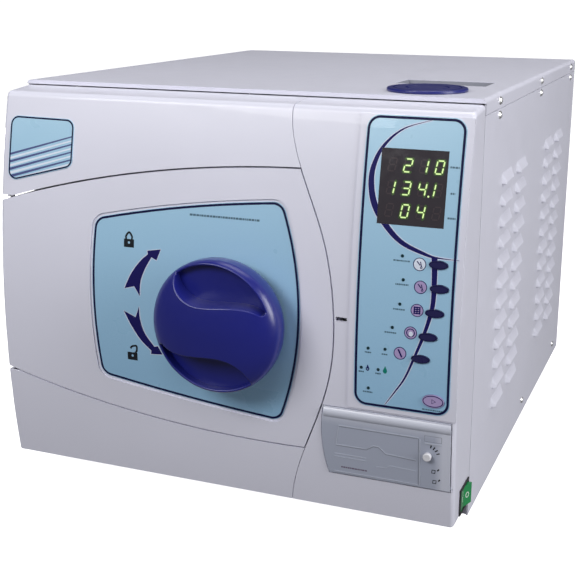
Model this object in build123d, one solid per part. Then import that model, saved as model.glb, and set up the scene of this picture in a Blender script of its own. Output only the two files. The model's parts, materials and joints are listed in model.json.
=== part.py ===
"""Benchtop steam autoclave: cabinet, pressure chamber, hinged door and control fascia.

The model is drawn with y = 0 on the seam between the plastic fascia and the sheet
metal cabinet, z = 0 on the lower edge of the fascia and x = 0 midway between the
sides; the front faces -Y. Every solid is moved to the final frame when it is saved:
origin at the bottom centre of the whole object.
"""

from build123d import *
from math import cos, pi, sin, sqrt
import os

os.makedirs("parts", exist_ok=True)

# --- Driving dimensions (mm) -------------------------------------------------
WIDTH = 480.0               # over the side panels
DEPTH = 550.0               # fascia seam to rear panel
TOP = 389.0                 # cabinet top above the fascia's lower edge
BASE_DROP = 14.0            # base and side panels reach below the fascia
FOOT_H = 18.0
HALF = WIDTH / 2
SHEET = 1.5                 # cabinet sheet metal
LIP = 14.5                  # height of the top cover's side lips
SHEET_GAP = 0.4             # seam between two sheet metal panels

BOW_R = 978.0               # the fascia front is one large arc, seen from the side
BOW_Z = 142.0               # height of the arc's foremost point
NOSE = 64.8                 # how far that point stands in front of the seam
BOW_Y = BOW_R - NOSE
FASCIA_FRONT_TOP = 380.5
FASCIA_SEAM_TOP = 384.0
FASCIA_WALL = 3.5
SHOULDER_R = 7.0            # front top corner of the fascia
SEAM = 0.3                  # half of a fixed seam
GAP = 0.8                   # half of the gap round the door

TOP_ARC = (103.0, -838.8, 1163.9)      # centre x, centre z and radius, door's top edge
LOW_ARC = (57.3, 1189.0, 1130.6)       # the same for the door's lower edge
SPLIT = [(75, 396), (72, 371), (84, 326), (110, 264), (122.5, 200), (121, 142), (104, 84), (87, 39), (78, -8)]

CHAMBER = (-20.0, 190.0)    # chamber axis, x and z
CHAMBER_R = 115.0
CHAMBER_WALL = 3.0
CHAMBER_BACK = 376.0
MOUTH_Y = -6.0              # sealing face of the chamber mouth
FLANGE_R = 134.0

KNOB = (17.5, 180.0)        # door knob axis, x and z
KNOB_R = 64.0
KNOB_FLOOR = 23.0           # finger pocket floor, in front of the knob's foot
KNOB_LIP_R = 1.2
KNOB_Y = (-67.3, -115.5)    # knob from its foot to the top of its dome
HINGE = (-231.0, -48.0)     # door pivot, x and y
PIN_R = 2.5
BUSH_R = 4.0
PIN_FIT = 0.05              # radial running clearance
KNUCKLES = ((222, 250), (105, 135))    # heights of the two door knuckles
RELIEF_R = 26.0             # no return walls this close to the pivot
TOP_NICK = 278.8            # the fixed fascias stop short here, where the door's corners turn
LOW_NICK = 93.3
NICK_X = -227.5
NICK_Y = -44.5

PITCH_R = 14.0              # lock pinion; bolts travel PITCH_R per radian
TEETH = 14
TOOTH = (1.1, 0.65)         # half width of a tooth at its root and at its tip
TOOTH_ROOT = 1.7
TOOTH_TIP = 1.3
UPRIGHT_Y = (-40.0, -34.0)  # layer of the upper and lower lock bolts
CROSS_Y = (-50.0, -44.0)    # layer of the side lock bolt
FRAME_Y = (-32.0, -28.0)    # door frame plate
DOOR_BACK = -26.0           # rear edge of the door's return walls

PANEL_X = 138.5             # left edge of the raised control panel
PANEL_Z = 109.0
PANEL_PROUD = 1.0
SLOT_X = (124.5, 135.5)      # short slot beside the panel
SLOT_Z = (190.0, 194.0)
OVERLAY = (189.0, 244.75, 90.0, 262.5, 12.0)   # centre x, z, width, height, corner radius
DISPLAY = (189.8, 315.2, 60.5, 65.5)
BUTTONS = [(218, 251), (220, 230), (217, 208), (212, 186), (206, 165)]
BUTTON = (8.5, 3.7)
START = (219.0, 127.0)
START_SIZE = (10.0, 6.0)
PRESS_ROOM = 0.3            # clearance round a push button
FLAP_AXIS_Z = 41.0
FLAP_RIDGE_Z = 101.0
FLAP_LATCH = (215.0, 72.0)
ROCKER = (237.5, -21.5, 17.0)          # rocker pivot x, y and centre z
ROCKER_TILT = 9.0
FILL = (172.0, 54.0)        # filling cap, x and y
CAP_RINGS = (32.0, 20.0)    # radii of the grooves on its top
FAN = (-20.0, 190.0)
GRIP = (167.0, 141.0, 94.0, 48.0)      # recess in the top: centre x, y, width, depth
LOUVRE = (50.0, 12.5, 4.2)             # length, height and projection of one louvre
LOUVRE_COLUMNS = [113, 188, 361, 436]
LOUVRE_TOP = 303.0
LOUVRE_PITCH = 21.2
LOUVRE_ROWS = 12
REAR_REACH = 564.0          # furthest fitting behind the seam

ORIGIN = Pos(0, -(REAR_REACH + KNOB_Y[1]) / 2, FOOT_H + BASE_DROP)
PARTS = {}


# --- Helpers -----------------------------------------------------------------
def save(name, *shapes):
    """Write one node; several shapes stay separate solids."""
    solids = [s for shape in shapes for s in (ORIGIN * shape).solids()]
    PARTS[name] = len(solids)
    export_step(Compound(children=solids) if len(solids) > 1 else solids[0], f"parts/{name}.step")


def block(x0, x1, y0, y1, z0, z1):
    return Pos((x0 + x1) / 2, (y0 + y1) / 2, (z0 + z1) / 2) * Box(abs(x1 - x0), abs(y1 - y0), abs(z1 - z0))


def rod_y(x, z, r, y0, y1):
    return Pos(x, (y0 + y1) / 2, z) * Rot(90, 0, 0) * Cylinder(r, abs(y1 - y0))


def rod_z(x, y, r, z0, z1):
    return Pos(x, y, (z0 + z1) / 2) * Cylinder(r, abs(z1 - z0))


def rod_x(y, z, r, x0, x1):
    return Pos((x0 + x1) / 2, y, z) * Rot(0, 90, 0) * Cylinder(r, abs(x1 - x0))


def tube_y(x, z, r_out, r_in, y0, y1):
    return rod_y(x, z, r_out, y0, y1) - rod_y(x, z, r_in, y0 - 1, y1 + 1)


def along_y(sketch, y0, y1):
    """A sketch drawn in (x, z), made solid from y0 to y1."""
    return extrude(Plane.XZ.offset(-y1) * sketch, amount=y1 - y0)


def bow_y(z, inset=0.0):
    """y of the fascia's front surface at height z, or of a surface inset behind it."""
    return BOW_Y - sqrt((BOW_R - inset) ** 2 - (z - BOW_Z) ** 2)


def bowed(inset, half=HALF, low=0.0, back=0.0):
    """The solid behind a surface that lies `inset` inside the fascia's outer skin."""
    top = FASCIA_FRONT_TOP - inset
    seam_top = FASCIA_SEAM_TOP - inset
    front = ThreePointArc((bow_y(low, inset), low), (bow_y(BOW_Z, inset), BOW_Z), (bow_y(top, inset), top))
    rest = Polyline(front @ 1, (back, seam_top), (back, low), front @ 0)
    profile = make_face([front, rest])
    shoulder = profile.vertices().sort_by(Axis.X)[:2].sort_by(Axis.Y)[-1]
    profile = fillet(shoulder, SHOULDER_R - inset)
    return extrude(Plane.YZ * profile, amount=half, both=True)


def disc(arc, margin, y0=-140.0, y1=5.0):
    x, z, r = arc
    return rod_y(x, z, r - margin, y0, y1)


def left_of_split(margin):
    edge = Spline([(x - margin, z) for x, z in SPLIT])
    rest = Polyline(edge @ 1, (-HALF - 30, SPLIT[-1][1]), (-HALF - 30, SPLIT[0][1]), edge @ 0)
    return along_y(make_face([edge, rest]), -140, 5)


def skin(inset, thickness, sketch):
    """A thin piece that follows the bowed front, with its outline drawn in (x, z)."""
    return (bowed(inset) - bowed(inset + thickness, back=5, half=HALF + 5, low=-5)) & along_y(sketch, -140, -20)


def rounded(x, z, w, h, r):
    return Pos(x, z) * RectangleRounded(w, h, r)


def ring_of(count, r, x, z, turn=0.0):
    angles = [2 * pi * (k + turn) / count for k in range(count)]
    return [(x + r * cos(a), z + r * sin(a)) for a in angles]


def mirrored(shape):
    return shape.mirror(Plane.YZ)


def label_outline(grow=0.0):
    """The door's window: four gently bowed sides with rounded corners."""
    corners = [(-129 - grow, 264 + grow), (68 + grow, 294 + grow), (69 + grow, 83 - grow), (-125 - grow, 105 - grow)]
    bulge = [(-30, 283 + grow), (89.5 + grow, 190), (-28, 92 - grow), (-132.5 - grow, 200)]
    sides = [ThreePointArc(corners[k], bulge[k], corners[(k + 1) % 4]) for k in range(4)]
    face = make_face(sides)
    return fillet(face.vertices(), 13.0 + grow)


def badge_outline():
    face = make_face(Polyline((-231, 357.5), (-157, 356.5), (-157, 311), (-231.5, 292), close=True))
    return fillet(face.vertices(), 9.0)


def flap_outline(grow=0.0, low=38.6):
    """Service flap: straight top, bottom and right side, bowed left side."""
    left = ThreePointArc((119 - grow, low - grow), (112 - grow, 76), (114 - grow, 106.5 + grow))
    rest = Polyline(left @ 1, (236 + grow, 106.5 + grow), (236 + grow, low - grow), left @ 0)
    return make_face([left, rest])


# --- Plastic fascias ---------------------------------------------------------
def rounded_shell():
    """The whole fascia body, its front, side and lower edges rounded."""
    body = bowed(0)
    sides = body.faces().filter_by(Axis.X)
    edges = sides.edges().filter_by(lambda e: e.center().Y < -1)
    return fillet(edges, 4.0)


def fascia_pieces():
    outer = rounded_shell()
    inner = bowed(FASCIA_WALL, half=HALF - FASCIA_WALL, low=FASCIA_WALL, back=5)
    door_outer = disc(TOP_ARC, GAP) & disc(LOW_ARC, GAP) & left_of_split(SEAM + GAP)
    wall = FASCIA_WALL
    door_inner = disc(TOP_ARC, GAP + wall) & disc(LOW_ARC, GAP + wall) & left_of_split(SEAM + GAP + wall)
    left_out, left_in = left_of_split(SEAM), left_of_split(SEAM + wall)

    room = rod_z(*HINGE, RELIEF_R, -20, 400)
    upper = (outer & left_out) - disc(TOP_ARC, -GAP)
    upper -= (inner & left_in) - disc(TOP_ARC, -GAP - wall)
    upper = upper - block(-300, 200, -140, 5, -20, 200) - (room & inner)
    upper -= block(-HALF - 1, NICK_X, -90, NICK_Y, 200, TOP_NICK)
    lower = (outer & left_out) - disc(LOW_ARC, -GAP)
    lower -= (inner & left_in) - disc(LOW_ARC, -GAP - wall)
    lower = lower - block(-300, 200, -140, 5, 200, 400) - (room & inner)
    lower -= block(-HALF - 1, NICK_X, -90, NICK_Y, LOW_NICK, 200)

    door = (outer & door_outer) - (inner & door_inner) - (room & inner)
    door -= block(-HALF + wall, 300, DOOR_BACK, 5, -5, 400) + block(-300, 300, -3, 5, -5, 400)

    right = outer - left_of_split(-SEAM)
    right -= inner - left_of_split(-SEAM - wall)
    panel = bowed(-PANEL_PROUD, half=HALF) & block(PANEL_X, HALF - 0.01, -140, -25, PANEL_Z, FASCIA_FRONT_TOP - 4)
    right += panel - bowed(FASCIA_WALL / 2, back=5, half=HALF + 5, low=-5)
    return upper, lower, door, right


# --- Door --------------------------------------------------------------------
def gear_tooth():
    root, tip = TOOTH
    outline = Polyline((PITCH_R - TOOTH_ROOT - 1, -root), (PITCH_R + TOOTH_TIP, -tip), (PITCH_R + TOOTH_TIP, tip),
                       (PITCH_R - TOOTH_ROOT - 1, root), close=True)
    return make_face(outline)


def spindle():
    """Knob shaft with the lock pinion cut on it; one tooth gap faces each rack at rest."""
    shaft = rod_y(*KNOB, 7, -70, FRAME_Y[1] + 1)
    core = rod_y(*KNOB, PITCH_R - TOOTH_ROOT, -52, -33)
    tooth = gear_tooth()
    teeth = [along_y(Pos(*KNOB) * Rot(0, 0, 360 / TEETH * (k + 0.5)) * tooth, -52, -33) for k in range(TEETH)]
    return shaft + core + teeth


def rack(length, offset):
    """A bar along local +X whose teeth point to local -Y, pitch line on y = 0."""
    pitch = 2 * pi * PITCH_R / TEETH
    root, tip = TOOTH
    bar = Pos(length / 2, TOOTH_ROOT + 4.5) * Rectangle(length, 9)
    tooth = make_face(Polyline((-root, TOOTH_ROOT + 0.5), (-tip, -TOOTH_TIP), (tip, -TOOTH_TIP), (root, TOOTH_ROOT + 0.5),
                               close=True))
    count = 7
    return bar + [Pos(offset + pitch * k, 0) * tooth for k in range(count)]


def lock_bolts():
    """Three bolts driven by one pinion: up on its left, down on its right, across on top."""
    x, z = KNOB
    pitch = 2 * pi * PITCH_R / TEETH
    first = 5 * pitch + 4
    up = Pos(x - PITCH_R, z - first) * Rot(0, 0, 90) * rack(317 - z + first, first - 5 * pitch)
    down = Pos(x + PITCH_R, z + first) * Rot(0, 0, -90) * rack(z + first - 63, first - 5 * pitch)
    across = Pos(x - first, z + PITCH_R) * rack(118.5 - x + first, first - 4.5 * pitch)
    return along_y(up, *UPRIGHT_Y), along_y(down, *UPRIGHT_Y), along_y(across, *CROSS_Y)


def door_group(door):
    x, z = KNOB
    recess = (bowed(-3) - bowed(1.5, back=5, half=HALF + 5, low=-5)) & along_y(label_outline(2.5), -140, -20)
    door -= recess
    door -= rod_y(x, z, 9, -90, -40)
    up, down, across = lock_bolts()
    bars = [(x - PITCH_R - TOOTH_ROOT - 4.5, 300, 330, UPRIGHT_Y), (x + PITCH_R + TOOTH_ROOT + 4.5, 50, 80, UPRIGHT_Y)]
    for bar_x, z0, z1, layer in bars:
        door -= block(bar_x - 5, bar_x + 5, layer[0] - 0.5, layer[1] + 0.5, z0, z1)
    bar_z = z + PITCH_R + TOOTH_ROOT + 4.5
    door -= block(110, 130, CROSS_Y[0] - 0.5, CROSS_Y[1] + 0.5, bar_z - 5, bar_z + 5)
    save("door_shell", door)
    save("door_label", skin(0.9, 0.6, label_outline()) - rod_y(x, z, 9, -90, -40))
    save("lock_bolt_top", up)
    save("lock_bolt_bottom", down)
    save("lock_bolt_side", across)
    save("knob_spindle", spindle())

    plate = disc(TOP_ARC, 9, *FRAME_Y) & disc(LOW_ARC, 9, *FRAME_Y) & left_of_split(10)
    plate = plate & block(-236, 200, *FRAME_Y, 0, 400)
    knuckles = [block(-236.2, -224, -53, FRAME_Y[0], z0, z1) for z0, z1 in KNUCKLES]
    frame = plate + knuckles - [rod_z(*HINGE, BUSH_R, z0 - 1, z1 + 1) for z0, z1 in KNUCKLES]
    frame -= rod_y(x, z, 7.05, -50, -20)
    frame -= [along_y(rounded(-150, 190, 50, 110, 12), -50, -20), along_y(rounded(-60, 120, 60, 46, 10), -50, -20)]
    frame += tube_y(*CHAMBER, 30, 24, FRAME_Y[1], -20)
    save("door_frame", frame)
    bushes = [rod_z(*HINGE, BUSH_R, z0, z1) - rod_z(*HINGE, PIN_R + PIN_FIT, z0 - 1, z1 + 1) for z0, z1 in KNUCKLES]
    save("hinge_bushes", *bushes)
    plate = rod_y(*CHAMBER, 124, -20, -12)
    plate += rod_y(*CHAMBER, 108, -12, -9)
    plate = fillet(plate.edges().filter_by(GeomType.CIRCLE).filter_by(lambda e: e.center().Y < -19), 3)
    save("pressure_plate", plate)
    save("door_seal", tube_y(*CHAMBER, 123, 111, -12, MOUTH_Y - 0.4))
    guides = []
    for bar_x, g0 in ((bars[0][0], 262), (bars[1][0], 86)):
        guide = block(bar_x - 10, bar_x + 10, -44, FRAME_Y[0], g0, g0 + 12)
        guides.append(guide - block(bar_x - 4.6, bar_x + 4.6, UPRIGHT_Y[0] - 0.1, UPRIGHT_Y[1] + 0.1, 0, 400))
    guide = block(92, 104, -54, FRAME_Y[0], bar_z - 9, bar_z + 9)
    guides.append(guide - block(80, 120, CROSS_Y[0] - 0.1, CROSS_Y[1] + 0.1, bar_z - 4.6, bar_z + 4.6))
    save("bolt_guides", *guides)


def knob():
    """A domed hand knob whose two finger pockets leave a broad S-shaped grip."""
    foot, dome = KNOB_Y
    wide = foot - 24
    cap = EllipticalCenterArc((0, wide), KNOB_R, wide - dome, start_angle=270, arc_size=90)
    side = Spline([(KNOB_R, wide), (KNOB_R - 1.5, foot - 10), (KNOB_R - 6, foot)], tangents=[(0, 1), (-0.5, 1)])
    foot_line = Polyline((KNOB_R - 6, foot), (0, foot), (0, dome))
    body = revolve(Plane.XY * make_face([cap, side, foot_line]), Axis.Y)
    grip = Spline([(-37, 48), (-33, 36), (-22, 27), (0, 24), (26, 25.5), (44, 22.5), (56, 14)])
    rim = ThreePointArc(grip @ 1, (25, 53), grip @ 0)
    pocket = fillet(make_face([grip, rim]).vertices(), 2.5)
    scoop = along_y(pocket, dome - 5, foot - KNOB_FLOOR)
    for turn in (0, 180):
        body -= Rot(0, turn, 0) * scoop
    lips = body.edges().filter_by(lambda e: e.center().Y < foot - KNOB_FLOOR - 4 and e.length > 20)
    body = fillet(lips, KNOB_LIP_R) - rod_y(0, 0, 7, foot - 3.2, foot + 1)
    return Pos(KNOB[0], 0, KNOB[1]) * body


# --- Control panel -----------------------------------------------------------
def push_button(x, z, size):
    """An oval key that stands a little proud, with a stem towards its switch."""
    key = skin(-PANEL_PROUD - 1.7, 5.7, Pos(x, z) * Ellipse(*size))
    return key + rod_y(x, z, 2.2, bow_y(z) + 2, -38.3)


def control_panel(right):
    dx, dz, dw, dh = DISPLAY
    opening = along_y(Pos(dx, dz) * Rectangle(dw + 0.2, dh + 0.2), -80, -30)
    holes = [along_y(Pos(x, z) * Ellipse(BUTTON[0] + PRESS_ROOM, BUTTON[1] + PRESS_ROOM), -80, -30) for x, z in BUTTONS]
    holes.append(along_y(Pos(*START) * Ellipse(START_SIZE[0] + PRESS_ROOM, START_SIZE[1] + PRESS_ROOM), -80, -30))
    right = right - opening - holes
    overlay = skin(-PANEL_PROUD - 0.5, 0.5, rounded(*OVERLAY)) - opening - holes
    save("control_overlay", overlay)
    window = skin(-PANEL_PROUD - 0.3, 2.0, Pos(dx, dz) * Rectangle(dw, dh))
    save("display_filter", window)
    for k, (x, z) in enumerate(BUTTONS):
        save(f"program_button_{k + 1}", push_button(x, z, BUTTON))
    save("start_button", push_button(*START, START_SIZE))
    board = block(146, 232, -33, -31.4, 118, 352)
    switches = [block(x - 3.5, x + 3.5, -37, -33, z - 3.5, z + 3.5) for x, z in BUTTONS + [START]]
    digits = block(dx - 28, dx + 28, -41.5, -33, dz - 31, dz + 31)
    save("control_board", board + switches + digits)
    return right


def service_hatch(right):
    axis_y = bow_y(FLAP_AXIS_Z) + 1.4
    right -= along_y(flap_outline(0.8, 38.0), -80, -50)
    right -= rod_x(axis_y, FLAP_AXIS_Z, 1.25, 110, 238.5)
    flap = skin(-1.0, 4.0, flap_outline(0.0)) - block(100, 240, -80, -30, -5, 38.6)
    ridge = rod_x(bow_y(FLAP_RIDGE_Z) + 5.5, FLAP_RIDGE_Z, 8.0, 114.5, 236) & skin(-3.4, 6.4, flap_outline(0.0))
    flap += ridge
    flap += rod_x(axis_y, FLAP_AXIS_Z, 1.2, 116, 238)
    x, z = FLAP_LATCH
    flap -= rod_y(x, z, 2.55, -90, -40)
    save("service_flap", flap)
    latch_y = bow_y(z)
    handle = fillet((rod_y(x, z, 4.0, latch_y - 5.5, latch_y - 1.8)).edges().sort_by(Axis.Y)[0], 1.2)
    latch = handle + rod_y(x, z, 2.5, latch_y - 1.8, latch_y + 7)
    latch += block(x - 2, x + 2, latch_y + 5, latch_y + 7, z - 13, z + 2)
    save("flap_latch", latch)
    bay = block(122, 226, -54.5, -5, 46, 102) - block(124, 224, -56, -7, 48, 100)
    bay -= block(222, 228, -56, -50, z - 3, z + 3)
    bay -= block(222, 228, -60, -52.5, 46, 102)
    save("service_bay", bay)
    taps = [rod_y(tx, 74, 9, -22, -7) + rod_y(tx, 74, 5.5, -34, -22) - rod_y(tx, 74, 3, -40, -15) for tx in (150, 184)]
    save("drain_couplings", *taps)
    return right


def power_switch(right):
    px, py, pz = ROCKER
    bezel = block(HALF, HALF + 1.5, py - 16.5, py + 16.5, pz - 13, pz + 13)
    bezel += block(HALF - 18, HALF, py - 15.5, py + 15.5, pz - 12, pz + 12)
    well = block(HALF - 14, HALF + 3, py - 14.3, py + 14.3, pz - 10.8, pz + 10.8)
    pivot_hole = rod_z(px, py, 1.55, pz - 11.4, pz + 11.4)
    save("switch_housing", bezel - well - pivot_hole)
    half_l, lift = 13.0, 5.7
    outline = Polyline((-half_l, lift), (0, 3.4), (half_l, lift), (half_l - 1, -1.5), (0, -6), (1 - half_l, -1.5), close=True)
    profile = Rot(0, 0, -90) * make_face(outline)
    rocker = extrude(Pos(0, 0, -10.4) * profile, amount=20.8)
    rocker = Pos(px, py, pz) * Rot(0, 0, -ROCKER_TILT) * rocker
    save("power_rocker", rocker + rod_z(px, py, 1.5, pz - 11.3, pz + 11.3))
    return right - block(HALF - 20, HALF + 5, py - 15.5, py + 15.5, pz - 12, pz + 12)


# --- Sheet metal cabinet -----------------------------------------------------
def louvre_tools(inner):
    """The bulges of one side, or the hollows behind them; each opens downwards."""
    length, height, reach = LOUVRE
    shrink, drop = (2.4, 1.4) if inner else (0.0, 0.0)
    base = Plane(origin=(HALF - SHEET - 0.1 if inner else HALF - 0.1, 0, 0), x_dir=(0, 1, 0), z_dir=(1, 0, 0))
    crown = base.offset(reach - 1.2 + SHEET if inner else reach + 0.1)
    foot = Pos(0, height / 2 - drop) * RectangleRounded(length - shrink, height - 0.6 * shrink, 4.5)
    ridge = Pos(0, 1.6 - drop) * RectangleRounded(length - 14 - shrink, 3.0 - 0.6 * shrink, 0.7)
    shape = loft([base * foot, crown * ridge])
    rows = range(LOUVRE_ROWS)
    return [Pos(0, y, LOUVRE_TOP - height / 2 - LOUVRE_PITCH * k) * shape for y in LOUVRE_COLUMNS for k in rows]


def side_panel():
    panel = block(HALF - SHEET, HALF, 1, DEPTH - 1, -BASE_DROP, TOP - LIP - SHEET_GAP)
    panel += block(HALF - 12, HALF - SHEET, 3, DEPTH - 3, -BASE_DROP, -BASE_DROP + SHEET)
    return panel + louvre_tools(False) - louvre_tools(True)


def cabinet():
    right = side_panel()
    save("side_panel_right", right)
    save("side_panel_left", mirrored(right))

    cover = block(-HALF, HALF, 0.6, DEPTH, TOP - LIP, TOP)
    cover = fillet(cover.edges().filter_by(Axis.Y).sort_by(Axis.Z)[-2:], 4)
    cover -= block(SHEET - HALF, HALF - SHEET, 2.6, DEPTH - SHEET, TOP - LIP - 1, TOP - 2)
    cover -= block(-HALF - 1, HALF + 1, 0, 2.7, TOP - LIP - 1, FASCIA_SEAM_TOP + 1)
    cover -= rod_z(*FILL, 34.5, TOP - 5, TOP + 5)
    gx, gy, gw, gd = GRIP
    cover -= block(gx - gw / 2, gx + gw / 2, gy - gd / 2, gy + gd / 2, TOP - 5, TOP + 5)
    save("top_cover", cover)
    tray = block(gx - gw / 2, gx + gw / 2, gy - gd / 2, gy + gd / 2, TOP - 13, TOP - 0.4)
    tray -= block(gx - gw / 2 + 2, gx + gw / 2 - 2, gy - gd / 2 + 2, gy + gd / 2 - 2, TOP - 11, TOP + 5)
    save("grip_recess", tray)

    rear = block(-HALF + 2, HALF - 2, DEPTH - SHEET, DEPTH, -BASE_DROP + SHEET, TOP - LIP - SHEET_GAP)
    fan_holes = [p for n, r in ((8, 20), (14, 34), (20, 48)) for p in ring_of(n, r, *FAN)]
    rear -= [rod_y(x, z, 5, DEPTH - 5, DEPTH + 5) for x, z in fan_holes + [FAN]]
    rear -= block(150, 178, DEPTH - 5, DEPTH + 5, 20, 50)
    rear -= [rod_y(x, 35, 8, DEPTH - 5, DEPTH + 5) for x in (-200, -165)]
    rear -= rod_y(205, 35, 8, DEPTH - 5, DEPTH + 5)
    rear -= [block(90, 200, DEPTH - 5, DEPTH + 5, z, z + 5) for z in range(110, 290, 15)]
    save("rear_panel", rear)

    base = block(-HALF + SHEET, HALF - SHEET, 3, DEPTH - SHEET, -BASE_DROP + SHEET, 8)
    base -= block(-HALF + 2 * SHEET, HALF - 2 * SHEET, 3 + SHEET, DEPTH - 2 * SHEET, -BASE_DROP + 2 * SHEET, 9)
    base -= [block(x, x + 60, 200 + 20 * k, 206 + 20 * k, -20, 0) for x in (-150, 90) for k in range(8)]
    save("base_pan", base)
    front = block(-HALF + 8, HALF - 8, 0, 2, 9, FASCIA_SEAM_TOP - 4) - rod_y(*CHAMBER, 126, -5, 5)
    front -= rod_y(200, 300, 10, -5, 5)
    save("front_frame", front)

    feet = []
    for x in (-190, 190):
        for y in (40, 490):
            foot = Pos(x, y, -BASE_DROP - FOOT_H / 2) * Cone(14, 17, FOOT_H)
            feet.append(foot)
    save("rubber_feet", *feet)

    heads = []
    for y in (63, 289, 512):
        for z in (TOP - LIP / 2, TOP - LIP - 6):
            heads.append((y, z))
    heads += [(276, 4), (500, 4)]
    screws = [Pos(HALF + 0.9, y, z) * Rot(0, 90, 0) * Cone(4.2, 2.6, 1.8) for y, z in heads]
    screws += [mirrored(s) for s in screws]
    rear_spots = [(x, z) for x in (-225, 0, 225) for z in (0, 355)]
    screws += [Pos(x, DEPTH + 0.9, z) * Rot(-90, 0, 0) * Cone(4.2, 2.6, 1.8) for x, z in rear_spots]
    screws += [rod_y(x, z, 3, -3, 0) for x, z in ring_of(8, 129, *CHAMBER, 0.5)]
    save("machine_screws", *screws)


# --- Pressure system and services inside the cabinet -------------------------
def pressure_system():
    x, z = CHAMBER
    outer = CHAMBER_R + CHAMBER_WALL
    shell = rod_y(x, z, outer, MOUTH_Y, CHAMBER_BACK + CHAMBER_WALL)
    shell = fillet(shell.edges().sort_by(Axis.Y)[-1], 20)
    bore = fillet(rod_y(x, z, CHAMBER_R, MOUTH_Y - 1, CHAMBER_BACK).edges().sort_by(Axis.Y)[-1], 17)
    flange = tube_y(x, z, FLANGE_R, outer, 2, 12) + tube_y(x, z, 125, outer, MOUTH_Y, 2)
    save("chamber_vessel", shell - bore + flange)
    save("insulation_jacket", tube_y(x, z, 140, outer + 6.5, 20, 370))
    save("band_heater", tube_y(x, z, outer + 6, outer, 110, 300))

    frames = []
    for side in (-1, 1):
        rails = [block(x + side * 78, x + side * 86, 30, 340, z + k - 1, z + k + 1) for k in (-62, -21, 20, 61)]
        posts = [block(x + side * 86, x + side * 88, 30 + k, 40 + k, z - 70, z + 70) for k in (0, 150, 300)]
        frames.append(Part() + rails + posts)
    cross = [block(x - 88, x + 88, 30 + k, 40 + k, z - 72, z - 70) for k in (0, 150, 300)]
    skids = [block(x + side * 55 - 4, x + side * 55 + 4, 30, 340, z - 97.5, z - 72) for side in (-1, 1)]
    save("tray_rack", *frames, Part() + cross + skids)
    trays = []
    for rail_z in (-62, -21, 20):
        floor = z + rail_z + 1
        tray = block(x - 84, x + 84, 34, 336, floor, floor + 16)
        tray -= block(x - 82.8, x + 82.8, 35.2, 334.8, floor + 1.2, floor + 20)
        spots = [(x - 60 + 24 * i, 60 + 40 * j) for i in range(5) for j in range(7)]
        slots = [block(sx, sx + 12, sy, sy + 4, floor - 5, floor + 5) for sx, sy in spots]
        trays.append(tray - slots)
    save("instrument_trays", *trays)


def services():
    tank = block(138, 228, 16, 330, 262, 366) - block(141, 225, 19, 327, 265, 363)
    tank -= rod_z(*FILL, 30.4, 355, 370)
    neck = rod_z(*FILL, 34, 366, TOP) - rod_z(*FILL, 30.4, 350, TOP + 5)
    save("clean_water_tank", tank, neck)
    cap = rod_z(*FILL, 38.5, TOP + 0.4, TOP + 3.4) + rod_z(*FILL, 30, TOP - 12, TOP + 0.4)
    cap -= rod_z(*FILL, 27, TOP - 20, TOP - 3)
    cap = fillet(cap.edges().group_by(Axis.Z)[-1], 1.5)
    for ring in CAP_RINGS:
        groove = rod_z(*FILL, ring + 1, TOP + 2.6, TOP + 4) - rod_z(*FILL, ring - 1, TOP + 2, TOP + 5)
        cap -= groove
    save("fill_cap", cap)
    save("waste_water_tank", block(-232, -166, 60, 330, 10, 150) - block(-229, -169, 63, 327, 13, 147))
    generator = rod_z(185, 120, 38, 20, 150) + rod_z(185, 120, 14, 150, 176) + block(150, 220, 85, 155, 8, 20)
    save("steam_generator", generator)
    save("power_supply", block(150, 228, 190, 330, 20, 150))
    pump = block(-190, -110, 400, 520, 8, 60) + rod_y(-150, 90, 30, 410, 500) + rod_z(-150, 455, 8, 118, 140)
    save("vacuum_pump", pump)
    valves = block(130, 210, 360, 400, 60, 90) + [rod_z(vx, 380, 11, 90, 130) for vx in (146, 172, 198)]
    save("valve_block", valves)
    fins = [block(-80, 40, 400 + 6 * k, 401.2 + 6 * k, 130, 250) for k in range(14)]
    coil = [rod_y(cx, cz, 4, 396, 484) for cx in (-60, -20, 20) for cz in (150, 190, 230)]
    save("condenser", Part() + fins + coil)
    fx, fz = FAN
    housing = block(fx - 60, fx + 60, 510, DEPTH - SHEET, fz - 60, fz + 60) - rod_y(fx, fz, 56, 500, 560)
    arms = [Pos(fx, 0, fz) * Rot(0, 120 * k, 0) * block(0, 57, 540, 546, -3, 3) for k in range(3)]
    save("fan_housing", housing + arms + rod_y(fx, fz, 18, 540, 546) - rod_y(fx, fz, 2.05, 500, 560))
    blade = Pos(30, 526, 0) * Rot(35, 0, 0) * Box(42, 1.6, 16)
    rotor = rod_y(0, 0, 20, 514, 538) + [Rot(0, 360 / 7 * k, 0) * blade for k in range(7)] + rod_y(0, 0, 2, 530, 545)
    save("fan_rotor", Pos(fx, 0, fz) * rotor)
    x, z = CHAMBER
    probe = rod_y(x + 50, z + 55, 3, 330, CHAMBER_BACK) + rod_y(x + 50, z + 55, 6, CHAMBER_BACK - 6, CHAMBER_BACK)
    pipe = rod_y(50, 230, 4, CHAMBER_BACK + CHAMBER_WALL, 392) + rod_y(-70, 130, 4, CHAMBER_BACK + CHAMBER_WALL, 392)
    save("chamber_ports", *pipe.solids(), probe)
    valve = rod_y(205, 35, 7.5, DEPTH - 30, REAR_REACH - 4) + rod_y(205, 35, 11, DEPTH - 60, DEPTH - 30)
    barbs = [rod_y(bx, 35, 7.5, DEPTH - 20, DEPTH + 4) + rod_y(bx, 35, 5, DEPTH + 4, REAR_REACH)
             for bx in (-200, -165)]
    save("rear_fittings", valve, *barbs)
    inlet = block(150.2, 177.8, DEPTH - 24, DEPTH, 20.2, 49.8) + block(145, 183, DEPTH, DEPTH + 3, 12, 58)
    inlet -= block(153, 175, DEPTH - 18, DEPTH + 5, 27, 43)
    inlet += [block(px - 1, px + 1, DEPTH - 18, DEPTH - 4, 33, 37) for px in (158, 164, 170)]
    save("inlet_socket", inlet)


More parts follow.
